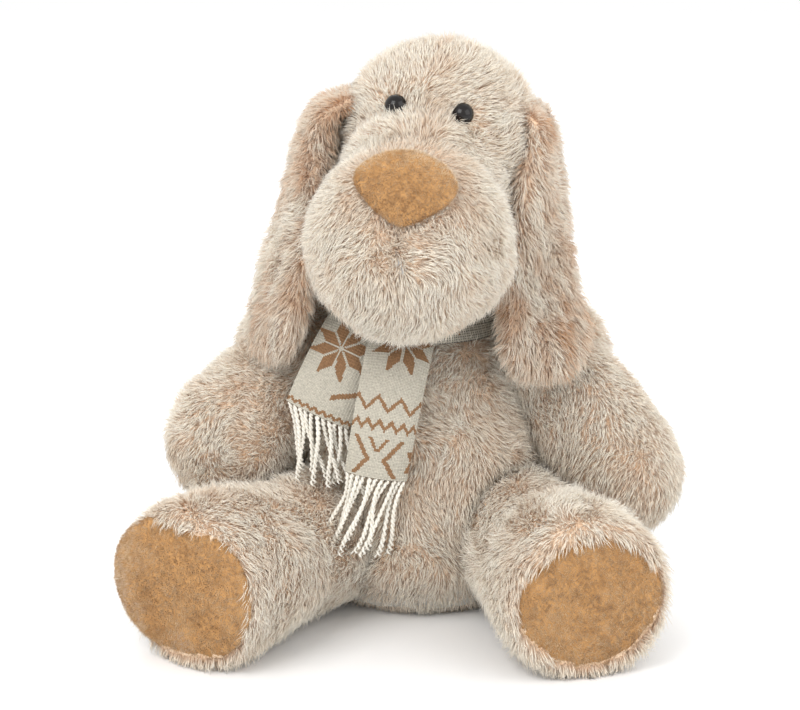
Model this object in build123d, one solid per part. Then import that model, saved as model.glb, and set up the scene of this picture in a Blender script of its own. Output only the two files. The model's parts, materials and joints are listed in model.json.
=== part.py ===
from build123d import *
import os
from math import asin, cos, degrees, radians, sin

# Seated plush dog in millimetres. The dog faces -Y, its own left is +X and +Z is up.
# The origin is the middle of the flat seat, on the surface that the dog sits on.

# Fabric and filling
FABRIC = 2.5            # plush cloth: backing and the pile pressed flat against it
AIR = 0.4               # gap between a cloth skin and the filling inside it
PLAY = 0.7              # gap between a limb's rounded root and the hollow it turns in
SWEEP_PLAY = 2.2        # gap between a limb's path and the torso

# Torso, a pear of revolution: two balls of (height, radius) with a cone between, cut flat at both ends
BELLY_Z, BELLY_R = 45.0, 77.0
CHEST_Z, CHEST_R = 110.0, 58.0
TORSO_TOP = 162.0
SEAT_R = (BELLY_R**2 - BELLY_Z**2) ** 0.5
PELLET_TOP = 34.0       # the weighting pellets fill the torso up to here

# Neck: a ball of filling on the torso's top, which the head turns and nods on
NECK_CENTRE = Vector(0, -5, 190)
NECK_R = 30.0

# Head, in its own upright frame with the neck's centre as origin
HEAD_TURN = -8.0        # the face is turned towards the dog's right
HEAD_LEAN = 6.0         # the crown leans towards the dog's left
CRANIUM = (Vector(0, -3, 63), 50.0)
BRIDGE = (Vector(0, -38, 40), 44.0)
MUZZLE = (Vector(0, -76, 25), 50.0)
NOSE_RADII = (25.0, 18.5, 9.0)
NOSE_AT_ELEVATION = 50.0
EYE_R = 6.0
EYE_SPREAD = 24.0       # degrees either side of the face's middle
EYE_ELEVATION = 30.0
SHANK_R = 2.0
SHANK_LENGTH = 12.0
WASHER_R = 8.0
WASHER_THICK = 1.6
WASHER_DROP = 1.0       # below the cloth, which curves over it

# Limbs: place of the root's centre, place of the far end, radii
ARM_ROOT_R, PAW_R = 30.0, 32.0
ARMS = {
    "left": (Vector(72, -4, 120), Vector(112, -34, 84)),
    "right": (Vector(-72, -4, 120), Vector(-108, -37, 99)),
}
DISH_DEPTH = 34.0       # of the torso's shallow dish round each shoulder
LEG_ROOT_R, FOOT_R = 35.0, 42.0
LEGS = {
    "left": (Vector(50, -38, FOOT_R), Vector(84, -148, FOOT_R)),
    "right": (Vector(-50, -38, FOOT_R), Vector(-119, -132, FOOT_R)),
}
LEG_LIFT = 25           # degrees
PATH_LENGTH = 75.0      # of the leg, from its root, that passes inside the torso's form
PAD_R = 36.0
PAD_CROWN = 4.0
SOLE_ROUND = 6.0
TAIL_ROOT, TAIL_END = Vector(0, 79, 40), Vector(0, 111, 53)
TAIL_ROOT_R, TAIL_END_R = 14.0, 10.0

# Ears: two soft layers each, through stations of (centre, half width, turn towards the front)
EAR_LAYER = 3.2
EAR_SEAM = 2.6          # gap between the two layers
EARS = {
    "right": (-1, [((-40, -9, 285), 17, 0), ((-54, -13, 266), 22, 4), ((-61, -22, 234), 25, 12),
                   ((-69, -32, 200), 27, 20), ((-77, -42, 168), 25, 24), ((-81, -48, 146), 13, 24)]),
    "left": (1, [((57, -11, 280), 17, 0), ((62.5, -16, 256), 22, 9), ((62, -28, 224), 25, 24),
                 ((61, -42, 188), 27, 43), ((65, -53, 157), 26, 58), ((64, -57, 137), 13, 62)]),
}

# Scarf: a woven strip wrapped once round the neck, its two ends lying on the chest
SCARF_THICK = 2.4
COLLAR_Y = -1.0
COLLAR_BAND = [(33, 161), (46, 149.5), (48, 152), (38, 178), (33, 178)]    # (radius, height) corners
SCARF_WIDTH = 38.0
FRINGE_R = 1.1
FRINGE_LENGTH = 25.0
FRINGE_COUNT = 9
# Each end: top middle, facing (turn about Z), sideways lean, outline of (out, down) from the top
SCARF_ENDS = {
    "front": (Vector(-9, -53, 163), -6, 9, [(0, 0), (18, 14), (33, 46), (36, 76)]),
    "back": (Vector(-30, -45, 165), -15, 22, [(0, 0), (16, 14), (26, 34), (29, 52)]),
}


def turned(*edges):
    """A solid of revolution about Z from edges in the XZ half plane."""
    return revolve(make_face(Curve() + list(edges)), Axis.Z)


def arc(centre_z, radius, start, end):
    """An arc about a point on the Z axis, between two angles measured from +X towards +Z."""
    at = [(radius * cos(radians(a)), 0, centre_z + radius * sin(radians(a)))
          for a in (start, (start + end) / 2, end)]
    return ThreePointArc(*at)


def pear(shrink, base_z, top_z):
    """The torso's form, drawn in by a distance all round, between two flat ends."""
    belly_r, chest_r = BELLY_R - shrink, CHEST_R - shrink
    slope = degrees(asin((BELLY_R - CHEST_R) / (CHEST_Z - BELLY_Z)))
    belly = arc(BELLY_Z, belly_r, degrees(asin((base_z - BELLY_Z) / belly_r)), slope)
    chest = arc(CHEST_Z, chest_r, slope, degrees(asin((top_z - CHEST_Z) / chest_r)))
    return turned(Line((0, 0, base_z), belly @ 0), belly, Line(belly @ 1, chest @ 0), chest,
                  Line(chest @ 1, (0, 0, top_z)), Line((0, 0, top_z), (0, 0, base_z)))


def along(root, end):
    """A plane at a limb's root whose Z runs along the limb."""
    return Plane(origin=root, z_dir=end - root)


def capsule(root_r, end_r, length, shrink=0.0):
    """A limb with a round root and a round end."""
    a, b = root_r - shrink, end_r - shrink
    return turned(arc(0, a, -90, 0), Line((a, 0, 0), (b, 0, length)), arc(length, b, 0, 90),
                  Line((0, 0, length + b), (0, 0, -a)))


def leg_form(length, shrink=0.0):
    """A leg: round root, straight thigh, wider foot and a flat sole with a rounded rim."""
    thigh, foot, sole = LEG_ROOT_R - shrink, FOOT_R - shrink, length - shrink
    rim = max(SOLE_ROUND - shrink, 1.0)
    corner = rim * cos(radians(45))
    return turned(
        arc(0, thigh, -90, 0),
        Line((thigh, 0, 0), (thigh, 0, length * 0.35)),
        Spline((thigh, 0, length * 0.35), (foot, 0, length * 0.78), tangents=[(0, 0, 1), (0, 0, 1)]),
        Line((foot, 0, length * 0.78), (foot, 0, sole - rim)),
        ThreePointArc((foot, 0, sole - rim), (foot - rim + corner, 0, sole - rim + corner),
                      (foot - rim, 0, sole)),
        Line((foot - rim, 0, sole), (0, 0, sole)),
        Line((0, 0, sole), (0, 0, -thigh)),
    )


def cylinder_between(z0, z1, radius):
    """A cylinder about Z from one height to another."""
    return Pos(0, 0, (z0 + z1) / 2) * Cylinder(radius, z1 - z0)


def leg_path(hip, sole):
    """Everything that the leg passes as it lifts: lowest place, highest place and a wedge between."""
    flat = (sole - hip).normalized()
    hinge = flat.cross(Vector(0, 0, 1))
    low = along(hip, sole) * capsule(LEG_ROOT_R, LEG_ROOT_R, PATH_LENGTH, -SWEEP_PLAY)
    high = low.rotate(Axis(hip, hinge), LEG_LIFT)
    rise = Vector(0, 0, PATH_LENGTH * sin(radians(LEG_LIFT)))
    near_end = hip + flat * (PATH_LENGTH * cos(radians(LEG_LIFT)))
    wedge = make_face(Polyline(hip, near_end, near_end + rise, close=True))
    return [low, high, extrude(wedge, LEG_ROOT_R + PLAY, dir=hinge, both=True)]


def arm_path(root, paw):
    """A dish about the shoulder's axis, just inside everything that the swinging arm passes."""
    run = (paw - root).normalized()
    out, round_axis = abs(run.X), (run.Y**2 + run.Z**2) ** 0.5
    inner = ARM_ROOT_R + SWEEP_PLAY
    start = (ARM_ROOT_R * out, -inner * round_axis)
    reach = DISH_DEPTH / out
    end = (start[0] + reach * round_axis, start[1] + DISH_DEPTH)
    corners = [(0, 0, start[1]), (start[0], 0, start[1]), (end[0], 0, end[1]), (0, 0, end[1])]
    dish = turned(*[Line(a, b) for a, b in zip(corners, corners[1:] + corners[:1])])
    return Plane(origin=root, z_dir=(run.X, 0, 0)) * dish


def make_arms():
    """Each arm's skin and filling, with the space that the torso must leave for it."""
    pieces, space = {}, []
    for side, (root, paw) in ARMS.items():
        length = (paw - root).length
        place = along(root, paw)
        skin = capsule(ARM_ROOT_R, PAW_R, length) - capsule(ARM_ROOT_R, PAW_R, length, FABRIC)
        filling = capsule(ARM_ROOT_R, PAW_R, length, FABRIC + AIR)
        pieces[f"arm_{side}_skin"] = place * skin
        pieces[f"arm_{side}_stuffing"] = place * filling
        space.append(Pos(*root) * Sphere(ARM_ROOT_R + PLAY))
        space.append(arm_path(root, paw))
    return pieces, space


def make_legs():
    """Each leg's skin, filling and foot pad, with the space that the torso must leave for it."""
    pieces, space = {}, []
    for side, (hip, sole) in LEGS.items():
        length = (sole - hip).length
        place = along(hip, sole)
        opening = cylinder_between(length - FABRIC - 1, length + 1, PAD_R)
        skin = leg_form(length) - leg_form(length, FABRIC) - opening
        filling = leg_form(length, FABRIC + AIR)
        pad_r = PAD_R - 0.2
        crown_r = (pad_r**2 + PAD_CROWN**2) / (2 * PAD_CROWN)
        dome = Pos(0, 0, length + PAD_CROWN - crown_r) * Sphere(crown_r)
        pad = cylinder_between(length - FABRIC, length + PAD_CROWN + 1, pad_r) & dome
        pieces[f"leg_{side}_skin"] = place * skin
        pieces[f"leg_{side}_stuffing"] = place * filling
        pieces[f"foot_pad_{side}"] = place * pad
        space += leg_path(hip, sole)
    return pieces, space


def make_tail():
    """The short tail's skin and filling, with the space that the torso must leave for it."""
    length = (TAIL_END - TAIL_ROOT).length
    place = along(TAIL_ROOT, TAIL_END)
    skin = capsule(TAIL_ROOT_R, TAIL_END_R, length) - capsule(TAIL_ROOT_R, TAIL_END_R, length, FABRIC)
    pieces = {
        "tail_skin": place * skin,
        "tail_stuffing": place * capsule(TAIL_ROOT_R, TAIL_END_R, length, FABRIC + AIR),
    }
    return pieces, [Pos(*TAIL_ROOT) * Sphere(TAIL_ROOT_R + PLAY)]


def make_torso(space):
    """The torso's sewn skin, its base panel, its filling and the bag of pellets in the seat."""
    skin = pear(0, 0, TORSO_TOP) - pear(FABRIC, FABRIC, TORSO_TOP - FABRIC)
    seat = cylinder_between(0, FABRIC, SEAT_R - FABRIC)
    sides = skin - seat
    inside = pear(FABRIC + AIR, FABRIC + AIR, TORSO_TOP - FABRIC - AIR)
    filling = split(inside, Plane.XY.offset(PELLET_TOP + AIR), Keep.TOP)
    pellets = split(inside, Plane.XY.offset(PELLET_TOP), Keep.BOTTOM)
    pieces = {
        "torso_front_panel": split(sides, Plane.XZ, Keep.TOP),
        "torso_back_panel": split(sides, Plane.XZ, Keep.BOTTOM),
        "torso_stuffing": filling,
        "pellet_bag": pellets,
    }
    for name in pieces:
        for hollow in space:
            pieces[name] -= hollow
    return {**pieces, "torso_base_panel": seat}


def make_neck():
    """The ball of filling in the neck, cut flat just above the torso."""
    ball = Pos(*NECK_CENTRE) * Sphere(NECK_R)
    return {"neck_stuffing": split(ball, Plane.XY.offset(TORSO_TOP + PLAY), Keep.TOP)}


def balls(shrink):
    """The head's rounded form, drawn in by a distance all round."""
    form = [Pos(*centre) * Sphere(radius - shrink) for centre, radius in (CRANIUM, BRIDGE, MUZZLE)]
    return form[0] + form[1] + form[2]


def outward(elevation, spread=0.0):
    """A unit vector out of the face, raised and turned by two angles."""
    up, turn = radians(elevation), radians(spread)
    return Vector(cos(up) * sin(turn), -cos(up) * cos(turn), sin(up))


def make_head():
    """The head's two panels, filling, nose and eyes, upright about the neck's centre."""
    socket = Sphere(NECK_R + PLAY)
    outside = balls(0)
    skin = outside - balls(FABRIC) - socket
    filling = balls(FABRIC + AIR) - socket
    pieces = {}
    face = outward(NOSE_AT_ELEVATION)
    nose_plane = Plane(origin=MUZZLE[0] + face * MUZZLE[1], x_dir=(1, 0, 0), z_dir=face)
    nose = nose_plane * scale(Sphere(1), by=NOSE_RADII)
    core = nose_plane * scale(Sphere(1), by=tuple(r - FABRIC for r in NOSE_RADII))
    pieces["nose_cover"] = nose - core - outside
    pieces["nose_stuffing"] = core - outside
    for side, sign in (("left", 1), ("right", -1)):
        out = outward(EYE_ELEVATION, sign * EYE_SPREAD)
        plane = Plane(origin=CRANIUM[0] + out * CRANIUM[1], z_dir=out)
        bead = split(Sphere(EYE_R), Plane.XY.offset(0.2), Keep.TOP)
        shank = cylinder_between(-SHANK_LENGTH, 0.2, SHANK_R)
        washer_top = -FABRIC - WASHER_DROP
        washer = cylinder_between(washer_top - WASHER_THICK, washer_top, WASHER_R)
        washer -= cylinder_between(-SHANK_LENGTH, 1, SHANK_R + 0.05)
        skin -= plane * (cylinder_between(-SHANK_LENGTH, EYE_R, SHANK_R + 0.1)
                         + cylinder_between(0.1, EYE_R, EYE_R + 0.3))
        filling -= plane * (cylinder_between(-SHANK_LENGTH - AIR, 1, SHANK_R + AIR)
                            + cylinder_between(washer_top - WASHER_THICK - AIR, 1, WASHER_R + AIR))
        pieces[f"eye_{side}"] = plane * (bead + shank)
        pieces[f"eye_washer_{side}"] = plane * washer
    pieces["head_left_panel"] = split(skin, Plane.YZ, Keep.TOP)
    pieces["head_right_panel"] = split(skin, Plane.YZ, Keep.BOTTOM)
    pieces["head_stuffing"] = filling
    pose = Pos(*NECK_CENTRE) * Rot(0, 0, HEAD_TURN) * Rot(0, HEAD_LEAN, 0)
    return {name: pose * piece for name, piece in pieces.items()}


def ear_section(index, stations, sign, layer):
    """One layer's oval section across an ear; layer is +1 for the outer face, -1 for the lining."""
    centre, half_width, turn = stations[index]
    before = Vector(*stations[max(index - 1, 0)][0])
    after = Vector(*stations[min(index + 1, len(stations) - 1)][0])
    run = (after - before).normalized()
    across = Vector(-sign * sin(radians(turn)), -cos(radians(turn)), 0)
    across = (across - run * across.dot(run)).normalized()
    face = across.cross(run) * sign
    origin = Vector(*centre) + face * (layer * (EAR_LAYER + EAR_SEAM) / 2)
    return Plane(origin=origin, x_dir=across, z_dir=run) * Ellipse(half_width, EAR_LAYER / 2)


def make_ears():
    """Both ears, each an outer layer of long pile and a lining, hanging from the head's side."""
    pieces = {}
    for side, (sign, stations) in EARS.items():
        for name, layer in (("outer", 1), ("lining", -1)):
            sections = [ear_section(i, stations, sign, layer) for i in range(len(stations))]
            pieces[f"ear_{side}_{name}"] = loft(sections[::sign])
    return pieces


def make_scarf():
    """The scarf's turn round the neck, its two ends and their fringes of twisted yarn."""
    corners = [(r, 0, z) for r, z in COLLAR_BAND]
    ring = turned(*[Line(a, b) for a, b in zip(corners, corners[1:] + corners[:1])])
    pieces = {"scarf_wrap": Pos(0, COLLAR_Y, 0) * ring}
    for side, (top, facing, lean, outline) in SCARF_ENDS.items():
        path = Polyline(*[(0, -out, -down) for out, down in outline])
        back = [(0, -out + SCARF_THICK / 2, -down) for out, down in outline]
        front = [(0, -out - SCARF_THICK / 2, -down) for out, down in reversed(outline)]
        side_face = make_face(Polyline(*back, *front, back[0]))
        strip = extrude(side_face, SCARF_WIDTH / 2, dir=(1, 0, 0), both=True)
        pose = Pos(*top) * Rot(0, 0, facing) * Rot(0, lean, 0)
        hem = path @ 1
        step = (SCARF_WIDTH - 4 * FRINGE_R) / (FRINGE_COUNT - 1)
        yarn = Cylinder(FRINGE_R, FRINGE_LENGTH)
        places = [(i - (FRINGE_COUNT - 1) / 2) * step for i in range(FRINGE_COUNT)]
        yarns = [Pos(x, hem.Y, hem.Z - FRINGE_LENGTH / 2 - 0.1) * yarn for x in places]
        pieces[f"scarf_{side}_end"] = pose * strip
        pieces[f"scarf_{side}_fringe"] = Compound([pose * y for y in yarns])
    return pieces


def main():
    arms, arm_space = make_arms()
    legs, leg_space = make_legs()
    tail, tail_space = make_tail()
    torso = make_torso(arm_space + leg_space + tail_space)
    nodes = {**torso, **make_neck(), **make_head(), **make_ears(), **arms, **legs, **tail, **make_scarf()}
    for name, piece in nodes.items():
        export_step(piece, f"parts/{name}.step")
    print(len(nodes), "nodes")


main()
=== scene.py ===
import json
from math import atan2, cos, pi, radians, sin, sqrt, tau

import bmesh
import bpy
import numpy as np
from mathutils import Matrix, Vector
from mathutils.bvhtree import BVHTree


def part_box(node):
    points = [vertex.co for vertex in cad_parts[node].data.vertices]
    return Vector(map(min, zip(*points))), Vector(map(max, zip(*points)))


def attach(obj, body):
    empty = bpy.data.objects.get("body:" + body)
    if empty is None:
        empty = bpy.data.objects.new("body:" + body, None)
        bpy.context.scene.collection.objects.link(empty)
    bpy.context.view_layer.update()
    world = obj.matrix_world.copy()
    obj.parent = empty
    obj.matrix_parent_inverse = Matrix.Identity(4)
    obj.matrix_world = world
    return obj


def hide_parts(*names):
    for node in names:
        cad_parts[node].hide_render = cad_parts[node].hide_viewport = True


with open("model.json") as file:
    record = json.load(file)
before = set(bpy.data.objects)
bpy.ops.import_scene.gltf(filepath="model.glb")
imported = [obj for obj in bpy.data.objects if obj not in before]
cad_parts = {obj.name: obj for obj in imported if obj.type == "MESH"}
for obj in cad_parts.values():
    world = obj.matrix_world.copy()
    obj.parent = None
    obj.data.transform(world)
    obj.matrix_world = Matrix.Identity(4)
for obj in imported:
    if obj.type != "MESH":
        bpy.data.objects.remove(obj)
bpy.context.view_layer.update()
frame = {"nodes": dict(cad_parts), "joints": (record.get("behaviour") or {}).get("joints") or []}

# A seated plush dog. It faces -Y, its own left is +X. Everything is in metres.
MM = 0.001
NODES = frame["nodes"]
JOINTS = {j["name"]: j for j in frame["joints"]}
SIDES = {"left": 1, "right": -1}

MOST_TRIANGLES = 195000     # in one piece of fur
STRAND_R = 0.205 * MM       # at a strand's root
ROOT_DEPTH = 0.3 * MM       # how deep a strand's root sits in the cloth
TUFT_SIZE = 5.5 * MM
BODY_PILE = 8.5 * MM        # length of the pile on the torso, limbs and tail
SKIN_VOXEL = 4 * MM         # remesh size of the plush skins
FLOOR_GAP = 0.6 * MM        # from the floor to the plush cloth that rests on it


def centre(node):
    low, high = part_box(node)
    return (low + high) / 2


def pivot(joint):
    return Vector(JOINTS[joint]["pos_m"])


# ---------------------------------------------------------------- colours and materials

def linear(r, g, b):
    """An sRGB colour given in 0 to 255, as linear light."""
    return tuple(((c / 255 + 0.055) / 1.055) ** 2.4 for c in (r, g, b))


PILE_ROOT = linear(226, 188, 154)
PILE_MID = linear(248, 239, 222)
PILE_TIP = linear(254, 250, 240)
EAR_ROOT = linear(204, 146, 92)
VELOUR_ROOT = linear(160, 122, 82)
VELOUR_TIP = linear(238, 206, 162)
# The scarf's cream and tan: their own colours, darkened with painted shade
SHADED_SCARF_CREAM = linear(192, 186, 172)
SHADED_SCARF_TAN = linear(146, 112, 82)
YARN = linear(238, 235, 226)


class Shader:
    """One Principled material and the few nodes that feed it."""

    def __init__(self, name, roughness=0.8, **plain):
        self.material = bpy.data.materials.new(name)
        self.material.use_nodes = True
        self.tree = self.material.node_tree
        self.surface = self.tree.nodes["Principled BSDF"]
        self.surface.inputs["Roughness"].default_value = roughness
        for socket, value in plain.items():
            self.surface.inputs[socket.replace("_", " ")].default_value = value

    def node(self, kind, **inputs):
        made = self.tree.nodes.new(kind)
        for socket, value in inputs.items():
            made.inputs[socket.replace("_", " ")].default_value = value
        return made

    def link(self, a, out, b, into):
        self.tree.links.new(a.outputs[out], b.inputs[into])

    def noise(self, scale, detail=3.0):
        made = self.node("ShaderNodeTexNoise", Scale=scale, Detail=detail)
        self.link(self.node("ShaderNodeTexCoord"), "Object", made, "Vector")
        return made

    def mottle(self, first, second, scale, detail=3.0, spread=0.25):
        """Base colour that wanders between two colours."""
        ramp = self.node("ShaderNodeValToRGB")
        ramp.color_ramp.elements[0].position = 0.5 - spread
        ramp.color_ramp.elements[1].position = 0.5 + spread
        ramp.color_ramp.elements[0].color = (*first, 1)
        ramp.color_ramp.elements[1].color = (*second, 1)
        self.link(self.noise(scale, detail), "Fac", ramp, "Fac")
        self.link(ramp, "Color", self.surface, "Base Color")
        return self

    def painted(self, attribute):
        """Base colour from the colours painted on the mesh."""
        paint = self.node("ShaderNodeAttribute")
        paint.attribute_name = attribute
        self.link(paint, "Color", self.surface, "Base Color")
        return self

    def bumped(self, scale, height, detail=3.0):
        bump = self.node("ShaderNodeBump", Strength=0.6, Distance=height)
        self.link(self.noise(scale, detail), "Fac", bump, "Height")
        self.link(bump, "Normal", self.surface, "Normal")
        return self


def sheened(weight, tint=(1.0, 0.94, 0.87, 1.0)):
    return {"Sheen_Weight": weight, "Sheen_Roughness": 0.45, "Sheen_Tint": tint}


PAINT = "pile"
MATERIALS = {
    "fur": Shader("plush_pile", 0.85, Specular_IOR_Level=0.15, **sheened(0.35))
    .painted(PAINT).material,
    "skin": Shader("plush_backing", 0.95, Specular_IOR_Level=0.1)
    .mottle(linear(226, 192, 160), linear(240, 218, 192), 90).bumped(900, 0.0004).material,
    "velour_pile": Shader("velour_pile", 0.8, Specular_IOR_Level=0.15, **sheened(0.5))
    .painted(PAINT).material,
    "velour": Shader("velour_cloth", 0.95, Specular_IOR_Level=0.1)
    .mottle(VELOUR_ROOT, linear(196, 150, 98), 140).bumped(1500, 0.0003).material,
    "weave": Shader("scarf_weave", 0.9, Specular_IOR_Level=0.15, **sheened(0.15))
    .painted(PAINT).material,
    "yarn": Shader("fringe_yarn", 0.9, Specular_IOR_Level=0.15, **sheened(0.2))
    .mottle(YARN, linear(226, 220, 208), 400).bumped(4000, 0.0001).material,
    "eye": Shader("eye_bead", 0.16, Specular_IOR_Level=0.35)
    .mottle((0.004, 0.003, 0.003), (0.012, 0.009, 0.008), 200).material,
    "washer": Shader("washer_plastic", 0.5).mottle((0.75, 0.75, 0.72), (0.82, 0.82, 0.8), 300).material,
    "filling": Shader("fibre_filling", 1.0).mottle((0.72, 0.72, 0.71), (0.86, 0.86, 0.85), 120)
    .bumped(500, 0.001).material,
    "bag": Shader("pellet_cloth", 0.9).mottle((0.62, 0.6, 0.55), (0.7, 0.68, 0.63), 700)
    .bumped(220, 0.001).material,
    "floor": Shader("pale_floor", 0.7).mottle((0.965, 0.965, 0.965), (0.975, 0.975, 0.975), 3).material,
}


def paint_all(obj, material):
    obj.data.materials.clear()
    obj.data.materials.append(MATERIALS[material])


# ---------------------------------------------------------------- noise and meshes as arrays

def lattice(cells, seed):
    """A fixed random number in 0 to 1 for each whole-number cell."""
    x, y, z = (cells[..., k].astype(np.int64) for k in range(3))
    h = (x * 73856093) ^ (y * 19349663) ^ (z * 83492791) ^ (seed * 668265263)
    h = (h ^ (h >> 13)) * 1274126177 & 0xFFFFFFFF
    h = (h ^ (h >> 16)) * 2246822519 & 0xFFFFFFFF
    return (h ^ (h >> 15)) / 0xFFFFFFFF


def noise(points, size, seed):
    """Smooth noise in -1 to 1 whose bumps are about that size."""
    scaled = points / size
    cell = np.floor(scaled).astype(np.int64)
    f = scaled - cell
    f = f * f * (3 - 2 * f)
    total = np.zeros(len(points))
    for corner in np.ndindex(2, 2, 2):
        step = np.array(corner)
        weight = np.prod(np.where(step, f, 1 - f), axis=1)
        total += weight * lattice(cell + step, seed)
    return 2 * total - 1


def noise_vector(points, size, seed):
    return np.stack([noise(points, size, seed + k) for k in range(3)], axis=1)


def unit(v):
    return v / np.maximum(np.linalg.norm(v, axis=1, keepdims=True), 1e-12)


def across_surface(v, normals):
    """The part of each vector that lies along the surface."""
    return v - normals * np.sum(v * normals, axis=1, keepdims=True)


def coordinates(mesh, kind="vertices", field="co"):
    out = np.empty(len(getattr(mesh, kind)) * 3)
    getattr(mesh, kind).foreach_get(field, out)
    return out.reshape(-1, 3)


def set_coordinates(mesh, points):
    mesh.vertices.foreach_set("co", np.ascontiguousarray(points, dtype=np.float32).ravel())
    mesh.update()


def normals_of(mesh):
    out = np.empty(len(mesh.vertices) * 3, np.float32)
    mesh.vertex_normals.foreach_get("vector", out)
    return out.reshape(-1, 3).astype(float)


def edges_of(mesh):
    out = np.empty(len(mesh.edges) * 2, np.int64)
    mesh.edges.foreach_get("vertices", out)
    return out.reshape(-1, 2)


def relax(mesh, rounds):
    """Smooths a mesh without shrinking it."""
    points, edges = coordinates(mesh), edges_of(mesh)
    degree = np.bincount(edges.ravel(), minlength=len(points))[:, None]
    for i in range(rounds * 2):
        around = np.zeros_like(points)
        np.add.at(around, edges[:, 0], points[edges[:, 1]])
        np.add.at(around, edges[:, 1], points[edges[:, 0]])
        points += (around / degree - points) * (0.5 if i % 2 == 0 else -0.51)
    set_coordinates(mesh, points)


def new_object(name, mesh):
    obj = bpy.data.objects.new(name, mesh)
    bpy.context.scene.collection.objects.link(obj)
    return obj


def baked(obj, *modifiers):
    """Applies modifiers given as (kind, settings) and keeps the result."""
    for kind, settings in modifiers:
        made = obj.modifiers.new(kind.lower(), kind)
        for key, value in settings.items():
            setattr(made, key, value)
    graph = bpy.context.evaluated_depsgraph_get()
    mesh = bpy.data.meshes.new_from_object(obj.evaluated_get(graph))
    obj.modifiers.clear()
    obj.data = mesh
    return obj


def smooth_faces(mesh):
    mesh.polygons.foreach_set("use_smooth", np.ones(len(mesh.polygons), bool))
    mesh.update()


def form(name, nodes, voxel, grow, rounds=6, extra=()):
    """A closed skin round CAD fillings and extra balls of (place, three radii), grown outwards."""
    bm = bmesh.new()
    for node in nodes:
        bm.from_mesh(NODES[node].data)
    for place, radii in extra:
        matrix = Matrix.LocRotScale(place, None, Vector(radii))
        bmesh.ops.create_icosphere(bm, subdivisions=4, radius=1.0, matrix=matrix)
    mesh = bpy.data.meshes.new(name)
    bm.to_mesh(mesh)
    bm.free()
    obj = new_object(name, mesh)
    baked(obj, ("REMESH", {"mode": "VOXEL", "voxel_size": voxel}))
    obj.data.name = name
    relax(obj.data, rounds)
    if grow:
        set_coordinates(obj.data, coordinates(obj.data) + normals_of(obj.data) * grow)
        relax(obj.data, 3)
    return obj


def inflate(obj, held, swell, pressure=4.0, frames=20):
    """Cloth simulation under the filling's pressure; seams hold the vertices in `held`."""
    start = coordinates(obj.data)
    group = obj.vertex_groups.new(name="held")
    group.add([int(i) for i in np.flatnonzero(held)], 1.0, "REPLACE")
    cloth = obj.modifiers.new("cloth", "CLOTH")
    cloth.settings.use_pressure = True
    cloth.settings.uniform_pressure_force = pressure
    cloth.settings.vertex_group_mass = "held"
    cloth.settings.effector_weights.gravity = 0
    cloth.collision_settings.use_collision = False
    for f in range(1, frames + 1):
        bpy.context.scene.frame_set(f)
    graph = bpy.context.evaluated_depsgraph_get()
    swollen = obj.evaluated_get(graph).to_mesh()
    moved = coordinates(swollen) - start
    obj.evaluated_get(graph).to_mesh_clear()
    obj.modifiers.remove(cloth)
    obj.vertex_groups.clear()
    bpy.context.scene.frame_set(1)
    far = np.linalg.norm(moved, axis=1, keepdims=True)
    moved *= np.minimum(1, swell / np.maximum(far, 1e-9))
    set_coordinates(obj.data, start + moved)
    relax(obj.data, 2)
    return obj


def mesh_from(name, points, faces, sides):
    """A mesh from an array of points and an array of faces that all have the same number of sides."""
    mesh = bpy.data.meshes.new(name)
    mesh.vertices.add(len(points))
    mesh.vertices.foreach_set("co", np.ascontiguousarray(points, dtype=np.float32).ravel())
    mesh.loops.add(faces.size)
    mesh.loops.foreach_set("vertex_index", faces.ravel().astype(np.int32))
    mesh.polygons.add(len(faces))
    mesh.polygons.foreach_set("loop_start", np.arange(0, faces.size, sides, dtype=np.int32))
    mesh.update(calc_edges=True)
    smooth_faces(mesh)
    return mesh


def add_uv(mesh, uv):
    """Keeps given UVs, one for each face corner."""
    layer = mesh.uv_layers.new(name="OFBake")
    layer.data.foreach_set("uv", np.ascontiguousarray(uv, dtype=np.float32).ravel())


def add_paint(mesh, colours, domain):
    layer = mesh.color_attributes.new(PAINT, "FLOAT_COLOR", domain)
    rgba = np.concatenate([colours, np.ones((len(colours), 1))], axis=1)
    layer.data.foreach_set("color", np.ascontiguousarray(rgba, dtype=np.float32).ravel())


# ---------------------------------------------------------------- fur

# A strand's points: rings of three from its root, then its tip. Its faces close it all round.
CURVED_FACES = np.array(
    [(k, (k + 1) % 3, 3 + k) for k in range(3)]
    + [((k + 1) % 3, 3 + (k + 1) % 3, 3 + k) for k in range(3)]
    + [(3 + k, 3 + (k + 1) % 3, 6) for k in range(3)]
    + [(2, 1, 0)]
)
CURVED_UV = np.array([(x, y) for x in (0.1, 0.5) for y in (0.1, 0.5, 0.9)] + [(0.9, 0.5)])
STRAIGHT_FACES = np.array([(0, 1, 3), (1, 2, 3), (2, 0, 3), (2, 1, 0)])
STRAIGHT_UV = np.array([(0.1, 0.1), (0.1, 0.5), (0.1, 0.9), (0.9, 0.5)])


def corners_of(mesh):
    """The vertices of each of a mesh's triangles."""
    mesh.calc_loop_triangles()
    corners = np.empty(len(mesh.loop_triangles) * 3, np.int64)
    mesh.loop_triangles.foreach_get("vertices", corners)
    return corners.reshape(-1, 3)


def scatter(mesh, density, rng):
    """Points spread evenly over a mesh, so many to a square millimetre, with their normals."""
    corners = corners_of(mesh)
    points, normals = coordinates(mesh), normals_of(mesh)
    a, b, c = (points[corners[:, k]] for k in range(3))
    reach = np.cumsum(np.linalg.norm(np.cross(b - a, c - a), axis=1))
    count = int(reach[-1] / 2 / MM**2 * density)
    pick = np.searchsorted(reach, rng.random(count) * reach[-1])
    u, v = rng.random(count), rng.random(count)
    flip = u + v > 1
    u[flip], v[flip] = 1 - u[flip], 1 - v[flip]
    weights = np.stack([1 - u - v, u, v], axis=1)[:, :, None]
    chosen = corners[pick]
    return (points[chosen] * weights).sum(1), unit((normals[chosen] * weights).sum(1))


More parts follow.
